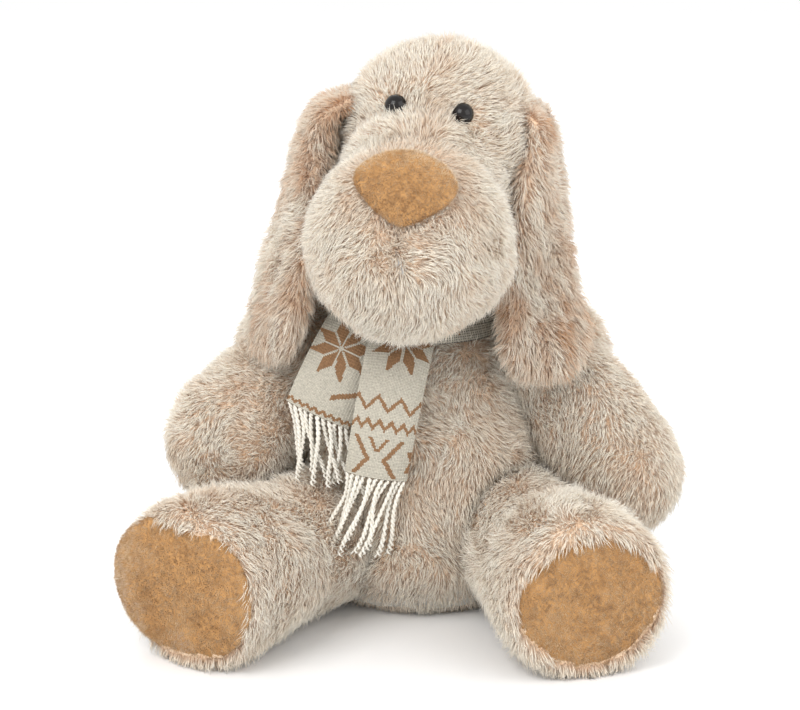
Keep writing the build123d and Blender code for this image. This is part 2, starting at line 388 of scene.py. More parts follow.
def surface_tree(obj):
    """A search tree of an object's surface, for clear_of."""
    return BVHTree.FromPolygons(coordinates(obj.data).tolist(), corners_of(obj.data).tolist())


def clear_of(tree, points, gap):
    """True for each point that is outside a closed surface by more than the gap."""
    clear = np.ones(len(points), bool)
    for i, point in enumerate(points.tolist()):
        place, normal, _, distance = tree.find_nearest(point, 60 * MM)
        if place is not None:
            clear[i] = distance > gap and (Vector(point) - place).dot(normal) > 0
    return clear


def tufts(points, size, seed):
    """The middle of the tuft that each point belongs to: the nearest point of a jittered lattice."""
    cell = np.floor(points / size).astype(np.int64)
    best = np.full(len(points), 1e9)
    middle = points.copy()
    for corner in np.ndindex(3, 3, 3):
        here = cell + np.array(corner) - 1
        jitter = np.stack([lattice(here, seed + k) for k in range(3)], axis=1)
        place = (here + jitter) * size
        gap = np.linalg.norm(place - points, axis=1)
        nearer = gap < best
        best[nearer], middle[nearer] = gap[nearer], place[nearer]
    return middle


def strands(name, roots, normals, lay, length, width, tuft, tuft_size, colours, seed, curved=True):
    """Tapered closed strands. lay is the direction and lean of each; tuft draws the tips together."""
    rng = np.random.default_rng(seed)
    count = len(roots)
    length = (length * (1 + 0.18 * rng.standard_normal(count)).clip(0.55, 1.35))[:, None]
    lean = unit(lay + normals * 0.55 + 0.22 * rng.standard_normal((count, 3)))
    rise = unit(lean + normals * 0.75)
    middle = roots + rise * length * 0.5
    tip = middle + lean * length * 0.5
    heart = tufts(roots, tuft_size, seed)
    heart = heart - normals * np.sum((heart - roots) * normals, axis=1, keepdims=True)
    pull = tuft * (0.7 + 0.6 * rng.random((count, 1)))
    tip += (heart - roots) * pull
    middle += (heart - roots) * pull * 0.35
    side = unit(np.cross(rise, rng.standard_normal((count, 3))))
    other = np.cross(rise, side)
    levels = [(roots - normals * ROOT_DEPTH, 1.0, colours[0])]
    if curved:
        levels.append((middle, 0.85, colours[1]))
    points, paint = [], []
    for place, size, colour in levels:
        for k in range(3):
            spoke = side * cos(tau * k / 3) + other * sin(tau * k / 3)
            points.append(place + spoke * (width * size))
            paint.append(colour)
    points, paint = np.stack(points + [tip], axis=1), np.stack(paint + [colours[2]], axis=1)
    each = points.shape[1]
    points, paint = points.reshape(-1, 3), paint.reshape(-1, 3)
    points[:, 2] = np.maximum(points[:, 2], 0.25 * MM)
    template, layout = (CURVED_FACES, CURVED_UV) if curved else (STRAIGHT_FACES, STRAIGHT_UV)
    faces = (template[None] + each * np.arange(count)[:, None, None]).reshape(-1, 3)
    mesh = mesh_from(name, points, faces, 3)
    add_paint(mesh, paint, "POINT")
    grid = int(np.ceil(sqrt(count)))
    cell = np.stack([np.arange(count) % grid, np.arange(count) // grid], axis=1)
    uv = (cell[:, None, None, :] + layout[template][None]) / grid
    add_uv(mesh, uv.reshape(-1, 2))
    return mesh


def mix(a, b, t):
    t = np.asarray(t)[:, None]
    return np.asarray(a) * (1 - t) + np.asarray(b) * t


def pile_colours(roots, seed, tan, root_colour, rng):
    """Root, middle and tip colours; tan, from 0 to 1, brings the root's colour up the strand."""
    patch = 0.5 + 0.5 * noise(roots, 16 * MM, seed + 50)
    fine = 0.5 + 0.5 * noise(roots, 4 * MM, seed + 60)
    warmth = np.clip(tan + 0.55 * (patch - 0.5) + 0.42 * (fine - 0.5), 0, 1)
    stray = rng.random(len(roots))
    base = mix(root_colour, PILE_MID, 0.25 * stray)
    middle = mix(PILE_MID, root_colour, np.clip(warmth * 1.1 - 0.15, 0, 0.85))
    tip = mix(PILE_TIP, PILE_MID, np.clip(warmth * 1.2 + 0.25 * (stray - 0.5), 0, 1))
    tip = mix(tip, root_colour, np.clip(warmth - 0.72, 0, 0.5))
    return base, middle, tip


def fur(skin, body, length, comb, seed, density=0.8, tan=0.3, root_colour=PILE_ROOT,
        tuft=0.35, bare=(), keep=None):
    """Covers a skin in pile: long curved strands over a short dense undercoat.

    comb gives the way the pile lies; bare is (place, radius) that stay free; length and tan may
    be functions of the roots.
    """
    for curved, part_of_length in ((True, 1.0), (False, 0.72)):
        rng = np.random.default_rng(seed + curved)
        roots, normals = scatter(skin.data, density, rng)
        wanted = np.ones(len(roots), bool) if keep is None else keep(roots, normals)
        for place, radius in bare:
            wanted &= np.linalg.norm(roots - np.array(place), axis=1) > radius
        roots, normals = roots[wanted], normals[wanted]
        lay = unit(across_surface(comb(roots, normals), normals) + 1e-9) * 1.1
        swirl = across_surface(noise_vector(roots, 22 * MM, seed + 10), normals) * 1.4
        ruffle = across_surface(noise_vector(roots, 7 * MM, seed + 20), normals) * 0.7
        lay = lay + swirl + ruffle
        reach = length(roots) if callable(length) else np.full(len(roots), length)
        reach = reach * part_of_length * (1 + 0.12 * noise(roots, 9 * MM, seed + 30))
        warm = tan(roots) if callable(tan) else tan
        colours = pile_colours(roots, seed, warm, np.array(root_colour), rng)
        most = MOST_TRIANGLES // len(CURVED_FACES if curved else STRAIGHT_FACES)
        shares = max(1, int(np.ceil(len(roots) / most)))
        layer = "pile" if curved else "undercoat"
        for part in range(shares):
            take = slice(part, None, shares)
            mesh = strands(f"{skin.name}_{layer}_{part + 1}", roots[take], normals[take], lay[take],
                           reach[take], STRAND_R, tuft if curved else tuft * 0.5, TUFT_SIZE,
                           [c[take] for c in colours], seed + 100 + part, curved)
            mesh.materials.append(MATERIALS["fur"])
            piece = new_object(mesh.name, mesh)
            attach(piece, body)


def velour(skin, body, seed, painted_shading=None, length=1.5 * MM):
    """Short dense pile for the nose and the foot pads."""
    rng = np.random.default_rng(seed)
    roots, normals = scatter(skin.data, 3.3, rng)
    lay = noise_vector(roots, 14 * MM, seed + 1) + noise_vector(roots, 3 * MM, seed + 5) * 0.8
    lay = across_surface(lay + np.array((0, 0, -0.3)), normals) * 1.2
    patch = 0.5 + 0.22 * noise(roots, 14 * MM, seed + 2) + 0.45 * noise(roots, 2.2 * MM, seed + 3)
    # on the nose, painted light and shade join the random patches: lighter on top, darker below
    if painted_shading:
        patch += painted_shading(roots)
    shade = np.clip(patch + 0.12 * rng.standard_normal(len(roots)), 0, 1)
    base = mix(VELOUR_ROOT, VELOUR_TIP, shade * 0.5)
    # the darkest tips carry both the random dark patches and the nose's painted shade
    tip = mix(linear(164, 120, 76), VELOUR_TIP, shade)
    mesh = strands(f"{skin.name}_pile", roots, normals, lay, np.full(len(roots), length), 0.17 * MM,
                   0.15, 2 * MM, (base, base, tip), seed + 4, curved=False)
    mesh.materials.append(MATERIALS["velour_pile"])
    piece = new_object(mesh.name, mesh)
    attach(piece, body)


def finish_skin(obj, body, material, replaced):
    """Smooths, paints and attaches a finished skin, and hides the CAD parts it replaces."""
    smooth_faces(obj.data)
    paint_all(obj, material)
    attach(obj, body)
    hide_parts(*replaced)


def make_filling(name, node, body, material="filling", lumps=1.2 * MM):
    """A lumpy core inside a skin, in the space of its CAD filling."""
    obj = form(name, [node], 5 * MM, 0, rounds=2)
    points = coordinates(obj.data)
    depth = (noise(points, 11 * MM, 7) - 1.0) * lumps
    set_coordinates(obj.data, points + normals_of(obj.data) * depth[:, None])
    smooth_faces(obj.data)
    paint_all(obj, material)
    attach(obj, body)
    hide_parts(node)
    return obj


# ---------------------------------------------------------------- head

NECK = pivot("head_nod")
HEAD_X = (centre("eye_left") - centre("eye_right")).normalized()
NOSE = centre("nose_cover")
HEAD_Y = NECK - NOSE
HEAD_Y = Vector((HEAD_Y.x, HEAD_Y.y, 0))
HEAD_Y = (HEAD_Y - HEAD_X * HEAD_Y.dot(HEAD_X)).normalized()
HEAD_Z = HEAD_X.cross(HEAD_Y)
HEAD_FRAME = np.array((HEAD_X, HEAD_Y, HEAD_Z))


def on_head(x, y, z):
    """A place in the head's upright frame, in millimetres from the neck's centre."""
    return NECK + (HEAD_X * x + HEAD_Y * y + HEAD_Z * z) * MM


def in_head(points):
    """Points in the head's upright frame, in metres from the neck's centre."""
    return (points - np.array(NECK)) @ HEAD_FRAME.T


def seam_wander(height):
    """How far the head's middle seam strays sideways at a height over the neck."""
    return 2.5 * MM * np.sin(height / (9 * MM))


# Extra fullness over the CAD filling: place in the head's frame and radii, all in millimetres
FULLNESS = [
    ((-9, -73, 22), (40, 42, 40)),
    ((9, -73, 22), (40, 42, 40)),
    ((3, -2, 66), (49, 47, 49)),
    ((-4, -46, 50), (34, 33, 34)),
    ((0, 3, 32), (38, 37, 36)),
]
EYE_R = 6 * MM
SOCKET_R = 15 * MM          # how far round an eye the cloth is drawn in
NOSE_HALF = 18.5 * MM       # half the nose cover's height


def eye_ball(side):
    """The middle of an eye's bead and the way it looks."""
    points = coordinates(NODES[f"eye_{side}"].data)
    deep = np.linalg.norm(points - np.array(on_head(0, -3, 63)), axis=1)
    tip, root = points[deep.argmax()], points[deep.argmin()]
    out = (tip - root) / np.linalg.norm(tip - root)
    return tip - out * EYE_R, out


def make_head(nose):
    extra = [(on_head(*place), Vector(radii) * MM) for place, radii in FULLNESS]
    skin = form("head_skin", ["head_stuffing"], SKIN_VOXEL, 2.2 * MM, rounds=12, extra=extra)
    seam = np.abs(in_head(coordinates(skin.data))[:, 0]) < 2.5 * MM
    inflate(skin, seam, 2.5 * MM)
    points = coordinates(skin.data)
    local = in_head(points)
    off_seam = local[:, 0] - seam_wander(local[:, 2])
    crease = np.exp(-(off_seam / (4.5 * MM)) ** 2) * (local[:, 1] < -20 * MM)
    below = np.exp(-((local[:, 2] - 22 * MM) / (16 * MM)) ** 2)
    points -= normals_of(skin.data) * (crease * (0.8 + 4.5 * below) * MM)[:, None]
    for side in SIDES:
        # the pile side of the cloth is drawn in round each eye
        ball, out = eye_ball(side)
        offset = points - ball
        height = offset @ out
        flat = np.linalg.norm(offset - height[:, None] * out, axis=1)
        socket = 0.9 * MM + 5 * MM * (flat / SOCKET_R) ** 2
        near = (flat < SOCKET_R) & (np.abs(height) < 20 * MM) & (height > socket)
        points[near] += out * (socket - height)[near, None]
    set_coordinates(skin.data, points)
    relax(skin.data, 1)
    finish_skin(skin, "head", "skin", ["head_left_panel", "head_right_panel"])
    make_filling("head_filling", "head_stuffing", "head")
    muzzle_top = np.array(NOSE)
    balls = [eye_ball(side)[0] for side in SIDES]
    nose_tree = surface_tree(nose)

    def comb(roots, normals):
        local = in_head(roots)
        away = unit(roots - muzzle_top)
        off_part = local[:, :1] - seam_wander(local[:, 2:3])
        parted = np.tanh(off_part / (3 * MM)) * np.exp(-np.abs(off_part) / (14 * MM)) * np.array(HEAD_X)
        way = away + parted * 0.6 + np.array((0, 0, -0.55))
        for ball in balls:
            gap = roots - ball
            near = np.linalg.norm(gap, axis=1, keepdims=True) / (11 * MM)
            way += unit(gap) * 0.7 * np.exp(-near**2)
        return way

    def length(roots):
        from_nose = np.linalg.norm(roots - muzzle_top, axis=1)
        reach = 8.0 * MM - 3.0 * MM * np.exp(-(from_nose / (32 * MM)) ** 2)
        for ball in balls:
            reach *= 1 - 0.3 * np.exp(-(np.linalg.norm(roots - ball, axis=1) / (11 * MM)) ** 2)
        return reach

    def tan(roots):
        local = in_head(roots)
        part = np.exp(-((local[:, 0] - 4 * MM) / (6 * MM)) ** 2) * (local[:, 2] > 60 * MM)
        from_nose = np.linalg.norm(roots - muzzle_top, axis=1)
        rim = np.exp(-((from_nose - 26 * MM) / (7 * MM)) ** 2)
        return 0.22 + 0.3 * part + 0.22 * rim

    def keep(roots, normals):
        near = np.linalg.norm(roots - muzzle_top, axis=1) < 45 * MM
        wanted = np.ones(len(roots), bool)
        wanted[near] = clear_of(nose_tree, roots[near], 0.3 * MM)
        return wanted

    bare = [(ball, 4.4 * MM) for ball in balls]
    fur(skin, "head", length, comb, seed=11, density=1.0, tan=tan, bare=bare, keep=keep)


def make_nose():
    """A rounded triangle of padded velour, widest near its top and pointed at the bottom."""
    skin = form("nose_skin", ["nose_cover", "nose_stuffing"], 1.5 * MM, 0.3 * MM, rounds=4)
    out = np.array((NOSE - on_head(0, -76, 25)).normalized())
    across = np.array(HEAD_X)
    up = np.cross(out, across)
    offset = coordinates(skin.data) - np.array(NOSE)
    u, v, n = offset @ across, offset @ up, offset @ out
    drop, rise = np.clip(-v / NOSE_HALF, 0, 1), np.clip(v / NOSE_HALF, 0, 1)
    u = u * (1.04 - 0.5 * drop**1.6) * (1 - 0.12 * rise**2)
    longer = v * np.where(v < 0, 1.28, 1.0) - 3 * MM
    n = n - (longer**2 - v**2) / (2 * 56 * MM) + 0.8 * MM
    points = np.array(NOSE) + u[:, None] * across + longer[:, None] * up + n[:, None] * out
    set_coordinates(skin.data, points)
    relax(skin.data, 2)
    inflate(skin, np.zeros(len(points), bool), 1.2 * MM, pressure=2.0, frames=10)
    finish_skin(skin, "head", "velour", ["nose_cover", "nose_stuffing"])

    def shade(roots):
        """Painted light and shade: lighter towards the top and darker towards the bottom."""
        height = (roots - np.array(NOSE)) @ up / (14 * MM)
        return 0.42 * np.tanh(height * 2.2 + 0.3)

    velour(skin, "head", 31, shade)
    return skin


# ---------------------------------------------------------------- torso, limbs and tail

def hanging(strength=1.0, outward=0.25):
    """Pile that hangs down and a little away from the body's middle."""
    def comb(roots, normals):
        flat = roots * np.array((1, 1, 0))
        return np.array((0, 0, -strength)) + unit(flat) * outward
    return comb


def along_line(start, end, droop=0.5):
    """Pile that lies along a limb and droops."""
    run = np.array((end - start).normalized())

    def comb(roots, normals):
        return np.tile(run, (len(roots), 1)) + np.array((0, 0, -droop))
    return comb


def make_torso():
    skin = form("torso_skin", ["torso_stuffing", "pellet_bag"], SKIN_VOXEL, 2.6 * MM)
    points = coordinates(skin.data)
    seam = (np.abs(points[:, 1]) < 2.5 * MM) | (points[:, 2] < 2 * MM)
    inflate(skin, seam, 4 * MM)
    points = coordinates(skin.data)
    low = np.clip(1 - points[:, 2] / (30 * MM), 0, 1) ** 1.5
    points[:, :2] *= (1 - 0.16 * low)[:, None]
    points[:, 2] = np.maximum(points[:, 2], FLOOR_GAP)
    set_coordinates(skin.data, points)
    finish_skin(skin, "torso", "skin",
                ["torso_front_panel", "torso_back_panel", "torso_base_panel"])
    make_filling("torso_filling", "torso_stuffing", "torso")
    make_filling("seat_pellets", "pellet_bag", "torso", "bag", 0.8 * MM)
    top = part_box("torso_back_panel")[1].z

    def keep(roots, normals):
        return (normals[:, 2] > -0.85) & (roots[:, 2] < top - 2 * MM)

    fur(skin, "torso", BODY_PILE, hanging(), seed=12, density=0.74, tan=0.22, keep=keep)


def make_neck():
    """The short neck, whose pile closes the nape between the head and the scarf."""
    skin = form("neck_skin", ["neck_stuffing"], SKIN_VOXEL, 0.8 * MM, rounds=3)
    finish_skin(skin, "neck", "skin", ["neck_stuffing"])
    fur(skin, "neck", 7 * MM, hanging(0.6, 0.6), seed=19, density=0.7, tan=0.3)


def make_limb(name, nodes, body, start, end, seed, extra=(), comb=None, keep=None, sag=None):
    """A plush limb over its CAD filling, its pile and its filling. nodes is (filling, skin).

    sag is how far its end sinks from the straight CAD form.
    """
    filling, covered = nodes
    skin = form(f"{name}_plush", [filling], SKIN_VOXEL, 2.7 * MM, extra=extra)
    core = make_filling(f"{name}_filling", filling, body)
    run = np.array((end - start).normalized())
    offset = coordinates(skin.data) - np.array(start)
    seam = np.abs(offset @ np.cross(run, (0, 0, 1.0))) < 2.2 * MM
    inflate(skin, seam, 3 * MM)
    for obj, floor in ((skin, FLOOR_GAP), (core, 4 * MM)):
        points = coordinates(obj.data)
        if sag:
            along = np.clip((points - np.array(start)) @ run / (end - start).length, 0, 1)
            points += (along**1.5)[:, None] * np.array(sag)
        points[:, 2] = np.maximum(points[:, 2], floor)
        set_coordinates(obj.data, points)
    finish_skin(skin, body, "skin", [covered])
    comb = comb or along_line(start, end)
    fur(skin, body, BODY_PILE, comb, seed=seed, density=0.74, tan=0.2, keep=keep)


# How far each paw sinks from its CAD form's place
ARM_SAG = {"left": -9 * MM, "right": -5 * MM}


def make_arms():
    for i, (side, sign) in enumerate(SIDES.items()):
        shoulder = pivot(f"arm_{side}_lift")
        low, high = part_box(f"arm_{side}_skin")
        paw = Vector((low.x if side == "right" else high.x, low.y, low.z))
        paw = shoulder + (paw - shoulder) * 0.62
        # the shoulder slopes up to the neck
        slope = (shoulder + Vector((-6 * sign, 2, 12)) * MM, Vector((32, 32, 32)) * MM)
        nodes = (f"arm_{side}_stuffing", f"arm_{side}_skin")
        make_limb(f"arm_{side}", nodes, f"arm_{side}", shoulder, paw, 13 + 2 * i, [slope],
                  sag=(-4 * sign * MM, 0, ARM_SAG[side]))


PAD_R = 35.8 * MM
# How far each pad spreads past its CAD disc, sideways and upwards, and how far it sits outwards
PAD_SPREAD = {"left": (1.10, 1.05, 0.0), "right": (1.22, 1.06, 5 * MM)}
# How far each foot spreads from its CAD form's place
LEG_SAG = {"left": (2 * MM, 0, 0), "right": (-6 * MM, 0, 0)}


def make_legs():
    for i, side in enumerate(SIDES):
        hip, sole = pivot(f"leg_{side}_lift"), centre(f"foot_pad_{side}")
        reach = Vector((sole.x - hip.x, sole.y - hip.y, 0))
        run = np.array(reach.normalized())
        pad = make_pad(side, sole, run)
        tree = surface_tree(pad)

        def keep(roots, normals):
            """Everywhere but under the pad."""
            near = (roots - np.array(sole)) @ run > -14 * MM
            wanted = np.ones(len(roots), bool)
            wanted[near] = clear_of(tree, roots[near], 0.2 * MM)
            return wanted

        def comb(roots, normals):
            """Along the leg, then standing up round the sole."""
            along = (roots - np.array(hip)) @ run / reach.length
            return run * np.clip(1.2 - 1.3 * along, 0.1, 0.8)[:, None] + np.array((0, 0, -0.25))

        nodes = (f"leg_{side}_stuffing", f"leg_{side}_skin")
        make_limb(f"leg_{side}", nodes, f"leg_{side}", hip, sole, 23 + 2 * i, comb=comb, keep=keep,
                  sag=LEG_SAG[side])


def make_pad(side, sole, run):
    """A foot's velour sole, crowned, with its rim drawn in by the seam."""
    pad = form(f"pad_{side}", [f"foot_pad_{side}"], 1.5 * MM, 0.2 * MM, rounds=3)
    wide, tall, shift = PAD_SPREAD[side]
    across = np.cross(run, (0, 0, 1.0)) * SIDES[side]
    offset = coordinates(pad.data) - np.array(sole)
    u, v, n = offset @ across, offset[:, 2], offset @ run
    radial = np.sqrt(u**2 + v**2) / PAD_R
    n = n + 1.5 * MM - 4.5 * MM * radial**4
    held = radial > 0.96
    # across points at the body's middle, so the outer half is where u is negative
    outer = np.minimum(1, np.maximum(-u, 0) / (20 * MM))
    u = u * wide - outer * shift
    points = np.array(sole) + u[:, None] * across + n[:, None] * run + np.array(LEG_SAG[side])
    points[:, 2] += v * tall
    set_coordinates(pad.data, points)
    inflate(pad, held, 3 * MM, pressure=3.0, frames=12)
    points = coordinates(pad.data)
    points[:, 2] = np.maximum(points[:, 2], 1.5 * MM)
    set_coordinates(pad.data, points)
    finish_skin(pad, f"leg_{side}", "velour", [f"foot_pad_{side}"])
    velour(pad, f"leg_{side}", 41 + SIDES[side])
    return pad


def make_tail():
    root = pivot("tail_wag")
    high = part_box("tail_skin")[1]
    make_limb("tail", ("tail_stuffing", "tail_skin"), "tail", root, Vector((0, high.y, high.z)), 33)


def make_ears():
    for i, (side, sign) in enumerate(SIDES.items()):
        nodes = [f"ear_{side}_outer", f"ear_{side}_lining"]
        ear = form(f"ear_{side}_plush", nodes, 3 * MM, 0.6 * MM, rounds=4)
        top = pivot(f"ear_{side}_lift").z
        points = coordinates(ear.data)
        above = np.maximum(points[:, 2] - (top - 12 * MM), 0)
        points[:, 2] -= above * 0.5
        points[:, 0] -= sign * above * 0.35
        set_coordinates(ear.data, points)
        relax(ear.data, 3)
        inflate(ear, np.zeros(len(points), bool), 1.5 * MM, pressure=2.0, frames=10)
        finish_skin(ear, f"ear_{side}", "skin", nodes)
        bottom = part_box(nodes[0])[0].z

        def comb(roots, normals):
            return np.array((0.25 * sign, 0, -1.0)) + 0 * roots

        def length(roots):
            fall = np.clip((top - roots[:, 2]) / (30 * MM), 0, 1)
            return 6 * MM + 3.5 * MM * fall

        def tan(roots):
            fall = np.clip((top - roots[:, 2]) / (top - bottom), 0, 1)
            streak = noise(roots * np.array((1, 1, 0.25)), 5 * MM, 71)
            edge = np.abs(2 * fall - 1) ** 2
            return 0.34 + 0.22 * edge + 0.4 * streak

        fur(ear, f"ear_{side}", length, comb, seed=51 + 2 * i, density=0.85, tan=tan,
            root_colour=EAR_ROOT, tuft=0.5)


# ---------------------------------------------------------------- scarf

CELL = 0.8 * MM             # one square of the pattern
CLOTH_HALF = 0.5 * MM       # half the cloth's thickness between its threads
THREAD_RISE = 0.45 * MM     # how far a thread stands out of the cloth
SCARF_WIDTH = 38 * MM
# The way each end faces and leans, in degrees, and its (out, down) line from its root, in millimetres
SCARF_ENDS = {
    "front": (-6, 9, [(0, 0), (18, 14), (33, 46), (36, 76)]),
    "back": (-15, 22, [(0, 0), (16, 14), (26, 34), (29, 52)]),
}
FRINGE_LENGTH = 38 * MM


def zigzag(across, up, period, height, thick):
    """True on a zigzag line; up is measured from its lowest place."""
    wave = abs((across + period / 2) % period - period / 2) * 2 / period * height
    return 0 <= up - wave < thick


def star(across, up, radius=18):
    """True on the eight pointed petals of a plain star."""
    r, angle = sqrt(across**2 + up**2), atan2(up, across)
    off = angle / tau * 8 % 1 - 0.5
    along, aside = r * cos(off * tau / 8), r * sin(off * tau / 8)
    return 1.5 < along < radius and abs(aside) < 3.3 * (1 - abs(along - radius * 0.55) / (radius * 0.5))


def front_pattern(across, up):
    """Bands in millimetres up from the hem: crossed strokes, two zigzags and a star."""
    side = abs(across + 2)
    if up < 22:
        cross = abs(side - 4.5 - 0.72 * abs(up - 10)) < 1.5 and 1 < up
        notch = up > 14 and abs(side - (up - 14) * 0.6) < 1.0
        return cross or notch or side + 0.6 * abs(up - 10) > 20 and 4 < up < 16
    if up < 33:
        return zigzag(across, up - 25, 6.4, 4, 3)
    if up < 47:
        return zigzag(across, up - 35, 12, 7, 2.8)
    return up > 54 and star(across - 2, (up - 54) % 42 - 20)


def back_pattern(across, up):
    """A zigzag on the hem, a slanting stroke, a dot and a star, in millimetres."""
    if up < 4:
        return zigzag(across, up - 0.5, 4.8, 2, 1.8)
    stroke = abs((across - 10) * 0.55 - (up - 16)) < 1.6 and 3 < across < 17
    dot = abs(across - 14) + abs(up - 31) < 3.2
    return stroke or dot or up > 18 and star(across + 3, (up - 38 + 21) % 42 - 21)


def woven(name, line, width, length, pattern, cell=CELL, each=3, closed=False):
    """A woven strip. line(u, v) gives the place and outward way at u across and v along, 0 to 1."""
    rows, columns = int(length / cell), int(width / cell)
    nu, nv = columns * each + 1, rows * each + (0 if closed else 1)
    u = np.repeat(np.linspace(0, 1, nu)[None], nv, 0)
    v = np.repeat(np.linspace(0, 1, nv, endpoint=not closed)[:, None], nu, 1)
    place, out = line(u.ravel(), v.ravel())
    i, j = np.meshgrid(np.arange(nu) / each, np.arange(nv) / each)
    over = np.sin(pi * i) ** 2 * np.cos(pi * j / 2) ** 2 + np.cos(pi * i / 2) ** 2 * np.sin(pi * j) ** 2
    depth = CLOTH_HALF + over.ravel()[:, None] * THREAD_RISE
    front = place + out * depth
    back = place - out * depth
    loops = nv if closed else nv - 1
    a = np.arange(loops)[:, None] * nu + np.arange(nu - 1)[None]
    b = ((np.arange(loops)[:, None] + 1) % nv) * nu + np.arange(nu - 1)[None]
    quads = np.stack([a, a + 1, b + 1, b], axis=-1).reshape(-1, 4)
    total = nu * nv
    under = quads[:, ::-1] + total
    rim = [np.stack([b[:, 0], a[:, 0], a[:, 0] + total, b[:, 0] + total], -1)]
    rim.append(np.stack([a[:, -1] + 1, b[:, -1] + 1, b[:, -1] + 1 + total, a[:, -1] + 1 + total], -1))
    if not closed:
        first, last = np.arange(nu - 1), (nv - 1) * nu + np.arange(nu - 1)
        rim.append(np.stack([first, first + 1, first + 1 + total, first + total], -1)[:, ::-1])
        rim.append(np.stack([last, last + 1, last + 1 + total, last + total], -1))
    faces = np.concatenate([quads, under] + rim)
    mesh = mesh_from(name, np.concatenate([front, back]), faces, 4)
    tan = np.array([[pattern(((c + 0.5) / columns - 0.5) * width / MM, (r + 0.5) * cell / MM)
                     for c in range(columns)] for r in range(rows)])
    shade = 1 + 0.07 * np.random.default_rng(5).standard_normal(tan.shape)
    colours = np.where(tan[..., None], SHADED_SCARF_TAN, SHADED_SCARF_CREAM) * shade[..., None]
    row, column = np.arange(loops), np.arange(nu - 1)
    at = colours[(row // each)[:, None], (column // each)[None]]
    # painted shade: darker in the gaps between the threads, darkest where two gaps cross
    thread_gap_shade = ((row % each == 0)[:, None] * 1.0 + (column % each == 0)[None] * 1.0)
    at = at * (1 - 0.1 * thread_gap_shade - 0.4 * (thread_gap_shade == 2))[..., None]
    painted = at.reshape(-1, 3)
    rest = np.tile(SHADED_SCARF_CREAM, (sum(len(r) for r in rim), 1))
    add_paint(mesh, np.repeat(np.concatenate([painted, painted, rest]), 4, axis=0), "CORNER")
    flat = np.stack([u.ravel() * 0.48 + 0.01, v.ravel() * 0.98 + 0.01], -1)
    uv = np.concatenate([flat, flat + np.array((0.5, 0))])[faces.ravel()]
    add_uv(mesh, uv)
    mesh.materials.append(MATERIALS["weave"])
    return new_object(name, mesh)


def smooth_path(points, count):
    """A smooth line through a few points, and its length."""
    points = np.array(points, float)
    ends = np.concatenate([[2 * points[0] - points[1]], points, [2 * points[-1] - points[-2]]])
    fine = []
    for k in range(len(points) - 1):
        a, b, c, d = ends[k:k + 4]
        for t in np.linspace(0, 1, 40, endpoint=False):
            fine.append(0.5 * (2 * b + (c - a) * t + (2 * a - 5 * b + 4 * c - d) * t**2
                               + (3 * b - a - 3 * c + d) * t**3))
    fine = np.array(fine + [points[-1]])
    steps = np.concatenate([[0], np.cumsum(np.linalg.norm(np.diff(fine, axis=0), axis=1))])
    even = np.linspace(0, steps[-1], count)
    return np.stack([np.interp(even, steps, fine[:, k]) for k in range(fine.shape[1])], 1), steps[-1]


def scarf_end(side):
    """One hanging end of the scarf, curled across its width, with its fringe."""
    facing, lean, outline = SCARF_ENDS[side]
    top = pivot(f"scarf_{side}_lift")
    turn = np.array(Matrix.Rotation(radians(facing), 3, "Z") @ Matrix.Rotation(radians(lean), 3, "Y"))
    path, length = smooth_path([(out * MM, down * MM) for out, down in reversed(outline)], 200)
    slope = np.gradient(path, axis=0)
    slope = slope / np.linalg.norm(slope, axis=1, keepdims=True)
    even = np.linspace(0, 1, 200)
    curl = 0.95 if side == "front" else 0.5      # radians from the middle to each edge

    def line(u, v):
        out, down = (np.interp(v, even, path[:, k]) for k in range(2))
        s_out, s_down = (np.interp(v, even, slope[:, k]) for k in range(2))
        bend = curl * (1 - 0.25 * v) * (1 + 0.3 * (u - 0.5))
        angle = (2 * u - 1) * bend
        radius = SCARF_WIDTH / 2 / bend
        across, depth = radius * np.sin(angle), radius * (np.cos(angle) - 1) * 0.75
        ripple = 0.9 * MM * np.sin(5 * u + 3 * v + 1) * (1 - v)
        middle = np.stack([across, -out, -down], 1)
        face = np.stack([0 * u, s_down, -s_out], 1)
        tilt = np.stack([np.sin(angle), 0 * u, 0 * u], 1) * 0.75 + face * np.cos(angle)[:, None]
        return np.array(top) + (middle + face * (depth + ripple)[:, None]) @ turn.T, unit(tilt) @ turn.T

    pattern = front_pattern if side == "front" else back_pattern
    piece = woven(f"scarf_{side}_cloth", line, SCARF_WIDTH, length, pattern)
    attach(piece, f"scarf_{side}")
    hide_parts(f"scarf_{side}_end")
    fringe = make_fringe(side, line)


# The way each fringe hangs: the front one leans to its right, the back one to its left
FRINGE_WAY = {"front": (-0.34, -0.06, -1.0), "back": (0.10, -0.08, -1.0)}


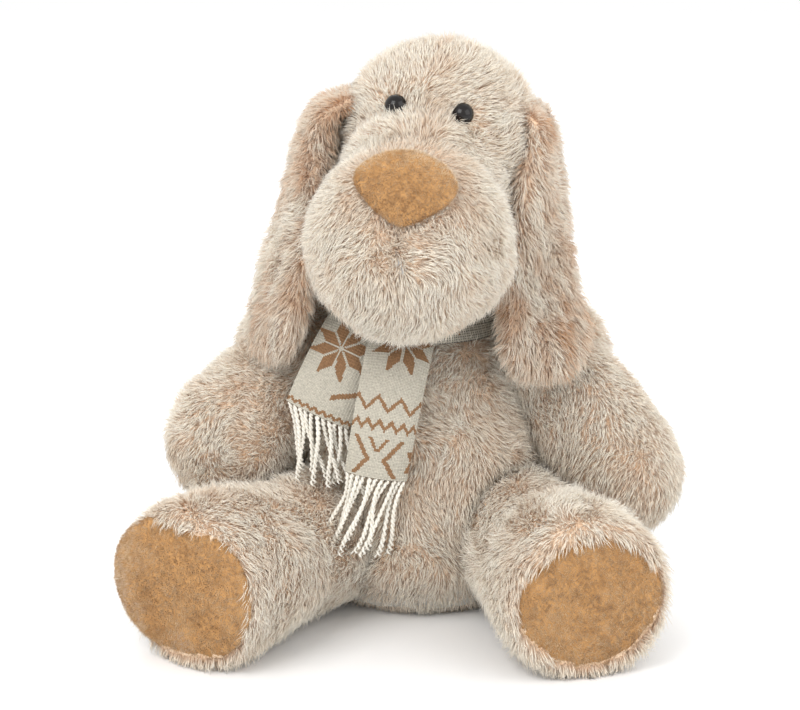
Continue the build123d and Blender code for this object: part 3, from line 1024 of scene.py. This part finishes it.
def make_fringe(side, line):
    """Tassels of two-ply twisted yarn, hanging from the hem."""
    rng = np.random.default_rng(61 if side == "front" else 62)
    count, rings, ring = 11, 34, 6
    hem = line(np.linspace(0.05, 0.95, count), np.zeros(count))[0]
    points, faces = [], []
    for k in range(count):
        length = FRINGE_LENGTH * (1 + 0.1 * rng.standard_normal())
        sway = rng.uniform(-1, 1, 3) * np.array((7, 3.5, 2)) * MM
        bend = rng.uniform(-1, 1, 3) * 2.0 * MM
        t = np.linspace(0, 1, rings)[:, None]
        way = np.array(FRINGE_WAY[side])
        spine = hem[k] + way * length * t + sway * t**1.3 + bend * np.sin(pi * t * 1.7)
        for ply in range(2):
            phase = tau * (t[:, 0] * length / (5.5 * MM) + ply / 2) + k
            twist = np.stack([np.cos(phase), np.sin(phase), np.zeros(rings)], 1) * 0.62 * MM
            middle = spine + twist * (1 + 1.6 * t**6)
            first = len(points) * ring
            for r in range(rings):
                size = 0.74 * MM * (0.55 if r in (0, rings - 1) else 1 + 0.1 * rng.standard_normal())
                angle = tau * np.arange(ring) / ring
                points.append(middle[r] + np.stack([np.cos(angle), np.sin(angle), 0 * angle], 1) * size)
            for r in range(rings - 1):
                for s in range(ring):
                    a, b = first + r * ring + s, first + r * ring + (s + 1) % ring
                    faces.append((a, a + ring, b + ring, b))
            last = first + (rings - 1) * ring
            for a, b, c in ((1, 2, 3), (3, 4, 5)):
                faces.append((first, first + a, first + b, first + c))
            for a, b, c in ((3, 2, 1), (5, 4, 3)):
                faces.append((last + a, last + b, last + c, last))
    mesh = mesh_from(f"scarf_{side}_tassels", np.concatenate(points), np.array(faces), 4)
    mesh.materials.append(MATERIALS["yarn"])
    piece = new_object(mesh.name, mesh)
    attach(piece, f"scarf_{side}")
    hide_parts(f"scarf_{side}_fringe")
    return piece


# The turn's section as (radius, height), in millimetres, from its lower edge up and over its roll
COLLAR_PROFILE = [(46.5, 150.5), (45, 158), (40.5, 168), (36.5, 175.5), (34, 177), (33.6, 171)]


def scarf_wrap():
    """The scarf's turn round the neck, its upper edge rolled in, with soft folds."""
    low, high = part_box("scarf_wrap")
    middle = (low + high) / 2
    profile, width = smooth_path([(r * MM, z * MM) for r, z in COLLAR_PROFILE], 100)
    slope = np.gradient(profile, axis=0)
    slope = slope / np.linalg.norm(slope, axis=1, keepdims=True)
    around = tau * np.mean(profile[:, 0])

    def line(u, v):
        at = np.linspace(0, 1, 100)
        r, z = (np.interp(u, at, profile[:, k]) for k in range(2))
        nr, nz = np.interp(u, at, slope[:, 1]), np.interp(u, at, -slope[:, 0])
        angle = v * tau
        fold = 1.0 * MM * np.sin(3 * angle + 5 * u) + 0.7 * MM * np.sin(7 * angle - 9 * u + 1)
        ring = np.stack([np.cos(angle), np.sin(angle), 0 * angle], 1)
        place = np.stack([0 * r, 0 * r, z], 1) + ring * (r + fold)[:, None]
        out = ring * nr[:, None] + np.array((0, 0, 1)) * nz[:, None]
        return place + np.array((middle.x, middle.y, 0)), out

    piece = woven("scarf_wrap_cloth", line, width, around, front_pattern, 1.2 * MM, 2, closed=True)
    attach(piece, "torso")
    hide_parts("scarf_wrap")


# ---------------------------------------------------------------- CAD nodes that stay

def dress_cad_nodes():
    """Gives the eyes and their washers, which stay as CAD nodes, their materials."""
    for side in SIDES:
        paint_all(NODES[f"eye_{side}"], "eye")
        paint_all(NODES[f"eye_washer_{side}"], "washer")
        smooth_faces(NODES[f"eye_{side}"].data)


# ---------------------------------------------------------------- camera, floor and light

CAMERA_ELEVATION = radians(15)
CAMERA_DISTANCE = 1.3
CAMERA_TARGET = Vector((-0.012, -0.030, 0.140))
LIGHT_TARGET = Vector((0, 0, 0.12))
CAMERA_LENS = 107.35


def make_camera():
    back = Vector((0, -cos(CAMERA_ELEVATION), sin(CAMERA_ELEVATION)))
    data = bpy.data.cameras.new("camera")
    data.lens = CAMERA_LENS
    camera = bpy.data.objects.new("camera", data)
    bpy.context.scene.collection.objects.link(camera)
    camera.location = CAMERA_TARGET + back * CAMERA_DISTANCE
    camera.rotation_euler = (-back).to_track_quat("-Z", "Y").to_euler()
    bpy.context.scene.camera = camera


def area_light(name, place, size, power, colour=(1, 1, 1)):
    data = bpy.data.lights.new(name, "AREA")
    data.energy, data.size, data.color = power, size, colour
    light = bpy.data.objects.new(name, data)
    bpy.context.scene.collection.objects.link(light)
    light.location = place
    light.rotation_euler = (LIGHT_TARGET - Vector(place)).to_track_quat("-Z", "Y").to_euler()


def make_studio():
    floor = new_object("floor", bpy.data.meshes.new("floor"))
    bm = bmesh.new()
    bmesh.ops.create_grid(bm, x_segments=8, y_segments=8, size=20.0)
    bm.to_mesh(floor.data)
    bm.free()
    paint_all(floor, "floor")
    area_light("key", (-0.9, -1.3, 1.5), 1.2, 20)
    area_light("fill", (1.3, -0.9, 0.9), 1.4, 9)
    area_light("back", (0.2, 1.4, 1.3), 1.2, 8)
    world = bpy.data.worlds.new("studio")
    world.use_nodes = True
    world.node_tree.nodes["Background"].inputs["Color"].default_value = (1, 1, 1, 1)
    world.node_tree.nodes["Background"].inputs["Strength"].default_value = 1.0
    bpy.context.scene.world = world
    bpy.context.scene.view_settings.view_transform = "Standard"


make_camera()
make_studio()
make_head(make_nose())
make_torso()
make_neck()
make_arms()
make_legs()
make_tail()
make_ears()
scarf_end("front")
scarf_end("back")
scarf_wrap()
dress_cad_nodes()
